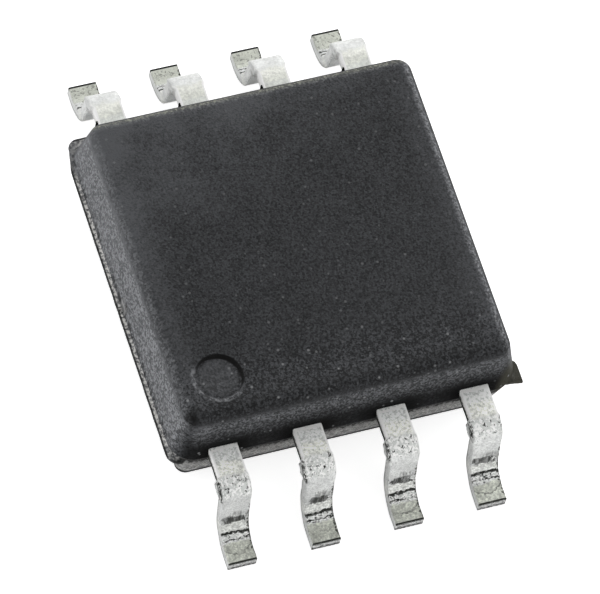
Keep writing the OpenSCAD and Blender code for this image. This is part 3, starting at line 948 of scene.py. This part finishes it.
@dataclass
class Moulding:
    """The epoxy body: drafted halves, rounded rims, pin-1 dimple, flash, vent tab and broken gate."""

    half_x: float = 2.63
    half_y: float = 2.66
    standoff: float = 0.10
    top: float = 1.92
    parting: float = 1.04
    draft_top: float = 12.0
    draft_bottom: float = 14.0
    corner_r: float = 0.38
    rim_r: float = 0.16
    heel_r: float = 0.06
    hold: float = 0.02
    dimple_inset: Point = (0.82, 0.80)
    dimple_r: float = 0.37
    dimple_depth: float = 0.05
    ejector_r: float = 0.50
    ejector_depth: float = 0.04
    flash_left: float = 0.07
    flash_right: float = 0.02
    flash_thk: float = 0.04
    flash_r: float = 0.2
    vent_reach: float = 0.07
    vent_run: float = 0.44
    vent_r: float = 0.16
    gate_reach: float = 0.06
    gate_wid: float = 0.40
    gate_thk: float = 0.06
    crumb_thk: float = 0.16
    flash_rag: float = 0.012
    chip_rag: float = 0.004
    rim_span: float = 0.06
    lead_half: float = 0.215
    back_leads: tuple[float, ...] = (1.905, 0.635, -0.635, -1.905)
    mesh: BMesh = field(default_factory=bmesh.new, init=False)
    body: Object | None = field(default=None, init=False)

    def fit(self) -> None:
        """Takes the body's reach and heights, and the places of the back leads, from their CAD nodes."""
        low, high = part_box("mould_body")
        self.half_x = -low.x / MM - self.flash_left
        self.half_y = -low.y / MM
        self.standoff, self.top = low.z / MM, high.z / MM
        self.back_leads = tuple(middle(f"lead_{number}").x for number in range(5, 9))

    @property
    def dimple_at(self) -> Point:
        """Centre of the pin-1 dimple in plan."""
        return self.dimple_inset[0] - self.half_x, self.dimple_inset[1] - self.half_y

    @property
    def rim_start(self) -> float:
        """Height at which the drafted sides run into the rounded rim of the top."""
        return self.top - self.rim_r * (1 - math.sin(math.radians(self.draft_top)))

    def draw_in(self, z: float) -> None:
        """Draws the outline at one height in by its draft, each corner about its own centre.

        Args:
            z: height of the outline in mm.
        """
        draft = self.draft_top if z > self.parting else self.draft_bottom
        share = 1 - abs(z - self.parting) * math.tan(math.radians(draft)) / self.corner_r
        ring = [v for v in self.mesh.verts if abs(v.co.z - z) < LEVEL]
        for sx, sy in ((-1, -1), (-1, 1), (1, -1), (1, 1)):
            centre = (sx * (self.corner_r - self.half_x), sy * (self.corner_r - self.half_y), 0.0)
            corner = [v for v in ring if v.co.x * sx > 0 and v.co.y * sy > 0]
            about = Matrix.Translation(centre)
            bmesh.ops.scale(self.mesh, vec=(share, share, 1.0), space=about, verts=corner)

    def rim(self, z: float, radius: float, draft: float, segments: int) -> None:
        """Rounds the edges all round one end face, with narrow faces beside them to hold the shading.

        Args:
            z: height of the end face in mm.
            radius: radius of the rounding.
            draft: the draft of the sides that meet it.
            segments: pieces in the rounding.
        """
        bm = self.mesh
        bevel(bm, level_at(bm.edges, z), radius * math.tan(math.radians(90.0 - draft) / 2), segments)
        bmesh.ops.inset_region(bm, faces=level_at(bm.faces, z), thickness=self.hold, use_even_offset=True)

    def recess(self, z: float, centre: Point, steps: list[Point]) -> None:
        """Sinks a round mark into an end face.

        Args:
            z: height of the end face in mm.
            centre: the mark's centre.
            steps: radius and depth of each ring, from the face in to the floor. Depth is along -Z.
        """
        bm = self.mesh
        face = max(level_at(bm.faces, z), key=lambda f: f.calc_area())
        border = list(face.edges)
        bmesh.ops.delete(bm, geom=[face], context="FACES_ONLY")
        place = Matrix.Translation((*centre, z))
        made = bmesh.ops.create_circle(bm, cap_ends=False, segments=72, radius=steps[0][0], matrix=place)
        loop = list({e for v in made["verts"] for e in v.link_edges})
        bmesh.ops.triangle_fill(bm, use_beauty=True, use_dissolve=False, edges=border + loop)
        hole, about = Sweep(bm, loop), Matrix.Translation((-centre[0], -centre[1], 0.0))
        for (before, above), (radius, depth) in zip(steps, steps[1:]):
            share, verts = radius / before, hole.advance()
            bmesh.ops.scale(bm, vec=(share, share, 1.0), space=about, verts=verts)
            bmesh.ops.translate(bm, vec=(0.0, 0.0, above - depth), verts=verts)
        hole.close()

    def shell(self) -> None:
        """Shapes the closed body, from a block to its drafted, rounded form with both round marks."""
        bm = self.mesh
        bmesh.ops.create_cube(bm, size=1.0)
        tall = self.top - self.standoff
        bmesh.ops.scale(bm, vec=(2 * self.half_x, 2 * self.half_y, tall), verts=bm.verts[:])
        bmesh.ops.translate(bm, vec=(0.0, 0.0, self.standoff + tall / 2), verts=bm.verts[:])
        upright = [e for e in bm.edges if abs(e.verts[0].co.z - e.verts[1].co.z) > tall / 2]
        bevel(bm, upright, self.corner_r, 14)
        rim, heel = self.top - self.rim_r - self.hold, self.standoff + self.heel_r + self.hold
        mids = [self.parting + (rim - self.parting) * k / 4 for k in range(1, 4)]
        for z in (self.parting, rim, heel, *mids):
            everything = bm.verts[:] + bm.edges[:] + bm.faces[:]
            bmesh.ops.bisect_plane(bm, geom=everything, plane_co=(0, 0, z), plane_no=(0, 0, 1))
        for z in (self.top, self.standoff, rim, heel, *mids):
            self.draw_in(z)
        self.rim(self.top, self.rim_r, self.draft_top, 12)
        self.rim(self.standoff, self.heel_r, self.draft_bottom, 6)
        r, d = self.dimple_r, self.dimple_depth
        lip = [(r + 0.008, 0.0), (r - 0.004, 0.004), (r - 0.012, 0.010)]
        wall = [(r - 0.044, d - 0.008), (r - 0.054, d - 0.001), (r - 0.070, d)]
        self.recess(self.top, self.dimple_at, lip + wall)
        r, d = self.ejector_r, -self.ejector_depth
        mark = [(r, 0.0), (r - 0.01, d * 0.3), (r - 0.03, d * 0.9), (r - 0.05, d)]
        self.recess(self.standoff, (0.0, 0.0), mark)

    def plate(self, outline: list[Point], thick: float, ragged: float, lot: float) -> None:
        """Adds a thin plate of flash under the parting line, with a ragged rim.

        Args:
            outline: corners of its plan in mm, in order.
            thick: its thickness, negative where it stands above the line.
            ragged: how far its rim wanders in.
            lot: number that makes its raggedness its own.
        """
        bm = self.mesh
        earlier = set(bm.faces)
        face = bm.faces.new([bm.verts.new((x, y, self.parting)) for x, y in outline])
        bmesh.ops.subdivide_edges(bm, edges=[e for e in face.edges if e.calc_length() > 0.1], cuts=1)
        rim = [e for e in level_at(bm.edges, self.parting) if len(e.link_faces) == 1]
        for _ in range(4):
            rim = [e for e in rim if e.is_valid and e.calc_length() > self.rim_span]
            if not rim:
                break
            rim = only(BMEdge, bmesh.ops.subdivide_edges(bm, edges=rim, cuts=1)["geom_split"])
        for v in [v for v in bm.verts if len(v.link_faces) == 1]:
            share = ragged * (0.5 + 0.5 * noise.noise(Vector((v.co.x * 9 + lot, v.co.y * 9, lot))))
            out = (v.co.x / self.half_x, v.co.y / self.half_y)
            axis = 0 if abs(out[0]) >= abs(out[1]) else 1
            v.co[axis] -= math.copysign(share, out[axis])
        made = bmesh.ops.extrude_face_region(bm, geom=[f for f in bm.faces if f not in earlier])["geom"]
        bmesh.ops.translate(bm, vec=(0.0, 0.0, -thick), verts=only(BMVert, made))

    def trimmings(self) -> None:
        """Adds the flash at both ends, the vent's tab, the broken gate and crumbs beside the back leads."""
        x, y, deep, run = self.half_x, self.half_y, self.corner_r, self.half_y - self.corner_r
        flash, vent = self.flash_r, self.vent_r
        near = arc(x + self.flash_left - flash, flash - y, flash, -90, 0)
        far = arc(x - vent, y + self.vent_reach - vent, vent, 0, 90)
        left = [(x - 2 * deep, -run), *near, (x + self.flash_left, y - self.vent_run), *far]
        left += [(x - self.vent_run, y + self.vent_reach), (x - 2 * deep, run)]
        self.plate([(-px, py) for px, py in left], self.flash_thk, self.flash_rag, 1.3)
        half = [(x - deep, run), (x, run), (x + self.flash_right, run - self.flash_right)]
        right = [(px, -py) for px, py in half] + half[::-1]
        self.plate(right, self.flash_thk, self.flash_rag, 4.1)
        reach, wide = self.gate_reach, self.gate_wid
        gate = [(-deep, deep), (-deep / 2, wide), (0.0, wide), (reach * 0.7, wide - reach * 0.6)]
        gate += [(reach, wide - reach * 1.6), (reach, reach / 2), (-reach, reach * 0.8), (-deep / 2, reach)]
        self.plate([(x + px, py - y) for px, py in gate], self.gate_thk, self.chip_rag, 7.7)
        crumb = [(-0.04, 0.0), (0.012, 0.0), (0.012, 0.215), (-0.02, 0.21), (-0.045, 0.14)]
        for lead_x in self.back_leads:
            outline = [(lead_x - self.lead_half + px, y - 0.01 + py) for px, py in crumb]
            self.plate(outline, -self.crumb_thk, self.chip_rag, lead_x)

    def build(self) -> None:
        """Builds the whole moulding as one object."""
        self.shell()
        self.trimmings()
        self.body = finished_piece(self.mesh, "moulded_body")

    def dress(self, finish: MouldCompound, effects: SharedEffects) -> None:
        """Gives the moulding its finish and its place in the frame."""
        stand_in(self.body, finish.material(effects), "mould_body")


@dataclass(frozen=True)
class Strip:
    """Sizes of the stamped and formed strip that every lead is made from."""

    width: float = 0.43
    thick: float = 0.19
    height: float = 1.04
    toe: float = 4.00
    foot_flat: float = 0.15
    slope: float = 80.0
    shoulder_r: float = 0.15
    foot_r: float = 0.38
    exit_y: float = 2.66
    finger_end: float = 1.43
    head_wid: float = 0.78
    head_len: float = 0.48
    notch_depth: float = 0.06
    notch_len: float = 0.16
    stub_from: float = 0.43
    stub_to: float = 0.74
    roll: float = 0.022

    @property
    def angle(self) -> float:
        """The slope in radians."""
        return math.radians(self.slope)

    @property
    def foot_outer(self) -> float:
        """Outer radius of the bend above the foot."""
        return self.foot_r + self.thick

    @property
    def foot_start(self) -> float:
        """Distance from the middle at which the level foot starts."""
        return self.toe - self.foot_flat

    @property
    def drop(self) -> float:
        """Run in plan of the slope between the bends."""
        turned = (self.shoulder_r + self.foot_outer) * (1 - math.cos(self.angle))
        return (self.height - turned) / math.tan(self.angle)

    @property
    def bend_y(self) -> float:
        """Distance from the middle at which the first bend starts."""
        return self.foot_start - self.drop - (self.shoulder_r + self.foot_outer) * math.sin(self.angle)

    @property
    def length(self) -> float:
        """Length of the formed strip from the body's side to the toe, along its middle."""
        return self.unrolled(self.toe, self.thick / 2)[0]

    def unrolled(self, y: float, z: float) -> Point:
        """Finds a point's place on the strip as it was before forming.

        Args:
            y: distance from the middle of the body in mm.
            z: height.

        Returns:
            Distance along the strip from the body's side, and depth below its upper face in thicknesses.
        """
        a, outer = self.angle, self.shoulder_r + self.thick
        past, up = y - self.bend_y, z - self.height + self.shoulder_r
        if past <= 0:
            return y - self.exit_y, (self.height + self.thick - z) / self.thick
        shoulder = self.bend_y - self.exit_y
        turned, out = math.atan2(past, up), math.hypot(past, up)
        mid1, mid2 = self.shoulder_r + self.thick / 2, self.foot_r + self.thick / 2
        if up > 0 and turned <= a + TURN:
            return shoulder + mid1 * turned, (outer - out) / self.thick
        sloped = shoulder + mid1 * a
        foot = sloped + self.drop / math.cos(a)
        left, down = self.foot_start - y, self.foot_outer - z
        if left <= 0:
            return foot + mid2 * a - left, (self.thick - z) / self.thick
        rest = math.atan2(left, down)
        if down > 0 and rest <= a + TURN:
            return foot + mid2 * (a - rest), (math.hypot(left, down) - self.foot_r) / self.thick
        off = Vector((past, up)) - outer * Vector((math.sin(a), math.cos(a)))
        inward = -off.x * math.sin(a) - off.y * math.cos(a)
        return sloped + off.x * math.cos(a) - off.y * math.sin(a), inward / self.thick


@dataclass
class Lead:
    """One gull-wing lead: inner finger, shoulder, two bends and foot, with its dambar stubs and burrs."""

    number: int
    strip: Strip
    x: float
    stub_left: float = 0.045
    stub_right: float = 0.018
    back_wear: float = 0.15
    first_lit_tone: float = 0.955
    lit_tone_step: float = 0.03
    back_lit_tone: float = 0.97
    piece: Object | None = field(default=None, init=False)

    @property
    def row(self) -> Row:
        """The row that the lead stands in."""
        return Row.FRONT if self.number <= 4 else Row.BACK

    @property
    def marks(self) -> dict[str, float]:
        """What its vertices carry, by name.

        Returns:
            A number that makes its marks its own, how scuffed its first bend is, and its brightness, a
            painted light that rises along the front row.
        """
        # painted light: the front leads get brighter from lead 1 to lead 4
        tone = self.first_lit_tone + self.lit_tone_step * (self.number - 1)
        wear, tone = (1.0, tone) if self.row is Row.FRONT else (self.back_wear, self.back_lit_tone)
        return {"lot": self.number * 1.618, "wear": wear, "tone": tone}

    def stub(self, along: float, reach: float) -> float:
        """Says how far a sheared dambar stub stands out of the strip's side.

        Args:
            along: distance along the strip in mm.
            reach: the stub's greatest reach.

        Returns:
            Its reach there: a steep start, a level cut and a long run-out.
        """
        start = (along - self.strip.stub_from + 0.02) / 0.03
        end = (self.strip.stub_to + 0.06 - along) / 0.14
        return reach * min(1.0, max(0.0, start)) * min(1.0, max(0.0, end))

    def section(self, bm: BMesh) -> list[BMEdge]:
        """Draws the section at the finger's end, rolled over at its upper edges by the stamping die.

        Args:
            bm: the mesh.

        Returns:
            The section's edges.
        """
        s = self.strip
        mid = Vector((0.0, s.finger_end, s.height + s.thick / 2))
        upright = Matrix.Translation(mid) @ Matrix.Rotation(math.radians(90), 4, "X")
        made = bmesh.ops.create_grid(bm, x_segments=1, y_segments=1, size=0.5, matrix=upright)["verts"]
        bmesh.ops.scale(bm, vec=(s.head_wid, 1.0, s.thick), space=Matrix.Translation(-mid), verts=made)
        bevel(bm, [v for v in bm.verts if v.co.z > mid.z], s.roll, 4)
        bevel(bm, [v for v in bm.verts if v.co.z < s.height + 0.01], s.roll * 0.3, 1)
        return list(bm.faces)[0].edges[:]

    def mark(self, bm: BMesh) -> None:
        """Writes each point's place on the flat strip, and roughens the sheared sides.

        Args:
            bm: the mesh, still in its own place for the back row.
        """
        strip = bm.verts.layers.float_vector.new("strip")
        marks = [(bm.verts.layers.float.new(name), value) for name, value in self.marks.items()]
        lot = self.marks["lot"]
        for v in bm.verts:
            along, depth = self.strip.unrolled(v.co.y, v.co.z)
            v[strip] = Vector((v.co.x, along, depth))
            for layer, value in marks:
                v[layer] = value
            if along < 0.05 or abs(v.co.x) < self.strip.width / 2 - 0.03:
                continue
            side = math.copysign(1.0, v.co.x)
            wave = noise.noise(Vector((along * 7.0, depth * 2.0, lot + side * 5.0)))
            chatter = noise.noise(Vector((along * 26.0, depth * 3.0, lot - side * 9.0)))
            reach = self.stub(along, self.stub_left if side < 0 else self.stub_right)
            v.co.x += side * (reach * (0.86 + 0.24 * chatter) + 0.004 * wave)

    def build(self) -> None:
        """Builds the lead: the section is run and bent from the finger's end to the toe."""
        s, bm = self.strip, bmesh.new()
        way = Sweep(bm, self.section(bm))
        way.run(s.head_len, 0.0, 1)
        rest = s.exit_y - s.finger_end - s.head_len - s.notch_len * 1.5
        outs = ((s.width - s.head_wid) / 2, -s.notch_depth, s.notch_depth)
        for out, dy, steps in zip(outs, (s.notch_len, s.notch_len / 2, rest), (1, 1, 2)):
            way.widen(out)
            way.run(dy, 0.0, steps)
        way.run(s.bend_y - s.exit_y, 0.0, 20)
        way.bend((s.bend_y, s.height - s.shoulder_r), s.slope, 24)
        way.run(s.drop, -s.drop * math.tan(s.angle), 18)
        way.bend((s.foot_start, s.foot_outer), -s.slope, 30)
        way.run(s.foot_flat, 0.0, 4)
        way.close()
        self.mark(bm)
        bmesh.ops.scale(bm, vec=(1.0, self.row.value, 1.0), verts=bm.verts[:])
        bmesh.ops.translate(bm, vec=(self.x, 0.0, 0.0), verts=bm.verts[:])
        self.piece = finished_piece(bm, f"gull_wing_{self.number}", 40.0)

    def dress(self, material: Material) -> None:
        """Gives the lead its finish and its place in the frame."""
        stand_in(self.piece, material, f"lead_{self.number}")


@dataclass
class SealedPieces:
    """The pieces inside the body, which keep their CAD meshes: paddle, adhesive, die and bond wires."""

    nodes: dict[str, Object]

    def dress(self, effects: SharedEffects) -> None:
        """Gives each piece its finish.

        Args:
            effects: the shared node groups.
        """
        made = {start: finish.material(effects) for start, finish in SEALED.items()}
        for name, node in self.nodes.items():
            for start, material in made.items():
                if name.startswith(start):
                    node.data.materials.clear()
                    node.data.materials.append(material)
                    LOG.info("%s: %s", name, material.name)


# ---- Stage --------------------------------------------------------------------------------------


@dataclass(frozen=True)
class SoftBox:
    """One soft light: a wide panel that faces the chip."""

    name: str
    azimuth: float
    elevation: float
    size: Point
    radiance: float
    distance: float = 50.0

    def hang(self) -> None:
        """Puts the light up. Azimuth 0 stands in front, and 90 to the right."""
        a, e = math.radians(self.azimuth), math.radians(self.elevation)
        away = Vector((math.sin(a) * math.cos(e), -math.cos(a) * math.cos(e), math.sin(e)))
        lamp = bpy.data.lights.new(self.name, "AREA")
        lamp.shape = "RECTANGLE"
        lamp.size, lamp.size_y = self.size[0] * MM, self.size[1] * MM
        lamp.energy = self.radiance * math.pi * lamp.size * lamp.size_y
        panel = bpy.data.objects.new(self.name, lamp)
        panel.location = away * self.distance * MM
        panel.rotation_mode = "QUATERNION"
        panel.rotation_quaternion = away.to_track_quat("Z", "Y")
        panel.visible_camera = False
        bpy.context.scene.collection.objects.link(panel)


@dataclass
class Studio:
    """The plain pale floor, the soft light and the camera."""

    lens: float = 375.074
    sensor: float = 36.0
    eye: Triple = (-22.3305, -36.6513, 80.9608)
    turn: Triple = (27.07067, -7.29378, -17.71707)
    floor_half: float = 400.0
    overhead: float = 0.95
    towards_back: float = 0.08
    horizon: float = 0.18
    dark_patch: float = 0.80
    boxes: tuple[SoftBox, ...] = (
        SoftBox("left_panel", -100.0, 14.0, (60.0, 24.0), 1.1),
        SoftBox("key_panel", 150.0, 38.0, (40.0, 34.0), 1.0),
        SoftBox("right_panel", 114.0, 13.0, (30.0, 18.0), 2.0),
        SoftBox("front_panel", 15.0, 22.0, (70.0, 24.0), 0.85),
    )

    def floor(self) -> None:
        """Lays the floor under the leads' feet."""
        bm = bmesh.new()
        bmesh.ops.create_grid(bm, x_segments=4, y_segments=4, size=self.floor_half)
        floor = finished_piece(bm, "pale_floor")
        floor.data.materials.append(PaleSweep().material())

    def sky(self) -> None:
        """Lights the world softly, dimmest round the camera and brightest low behind, on plain white."""
        world = bpy.data.worlds.new("studio_sky")
        bpy.context.scene.world = world
        world.use_nodes = True
        tree = Tree(world.node_tree)
        way = tree.value("TexCoord", out="Generated")
        _, y, z = tree.split(way)
        glow = y * self.towards_back + self.overhead + z.fall(0.15, 0.95) * y.ramp(-0.5, 0.4) * self.horizon
        eye = tuple(Vector(self.eye).normalized())
        towards = tree.value("VectorMath", {0: way, 1: eye}, "Value", operation="DOT_PRODUCT")
        glow = glow * towards.ramp(0.55, 0.92, 1.0, 1.0 - self.dark_patch)
        seen = tree.value("LightPath", out=Ray.CAMERA.value)
        sky = tree.value("Background", {"Color": WHITE, "Strength": glow.most(0.05, seen)})
        tree.add("OutputWorld", {"Surface": sky})

    def camera(self) -> None:
        """Sets the camera up at its viewing angle."""
        data = bpy.data.cameras.new("camera")
        data.sensor_width, data.lens = self.sensor, self.lens
        data.clip_start, data.clip_end = 0.001, 10.0
        camera = bpy.data.objects.new("camera", data)
        camera.location = Vector(self.eye) * MM
        camera.rotation_euler = Euler([math.radians(t) for t in self.turn], "XYZ")
        bpy.context.scene.collection.objects.link(camera)
        bpy.context.scene.camera = camera

    def build(self) -> None:
        """Puts up the floor, the light and the camera."""
        self.floor()
        self.sky()
        for box in self.boxes:
            box.hang()
        self.camera()
        bpy.context.scene.view_settings.view_transform = "Standard"


def main() -> None:
    """Loads the frame, builds and dresses every piece, and lights the scene."""
    logging.basicConfig(level=logging.INFO, format="%(name)s: %(message)s")
    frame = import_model()
    effects = SharedEffects()

    moulding = Moulding()
    moulding.fit()
    moulding.build()
    compound = MouldCompound(
        parting=moulding.parting,
        heel=moulding.standoff,
        half_x=moulding.half_x,
        half_y=moulding.half_y,
        draft=moulding.draft_top,
        pitch=middle("lead_2").x - middle("lead_1").x,
        rim_start=moulding.rim_start,
        dimple=(*moulding.dimple_at, moulding.dimple_r),
        tie_y=middle("die_paddle").y - 0.12,
    )
    moulding.dress(compound, effects)

    low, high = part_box("lead_5")
    strip = Strip(exit_y=moulding.half_y, toe=high.y / MM, finger_end=low.y / MM)
    tin = TinPlate(strip.width / 2, strip.length).material(effects)
    for number in range(1, 9):
        lead = Lead(number, strip, middle(f"lead_{number}").x)
        lead.build()
        lead.dress(tin)

    SealedPieces(frame["nodes"]).dress(effects)
    Studio().build()

    LOG.info("chip dressed")


if __name__ == "__main__":
    main()
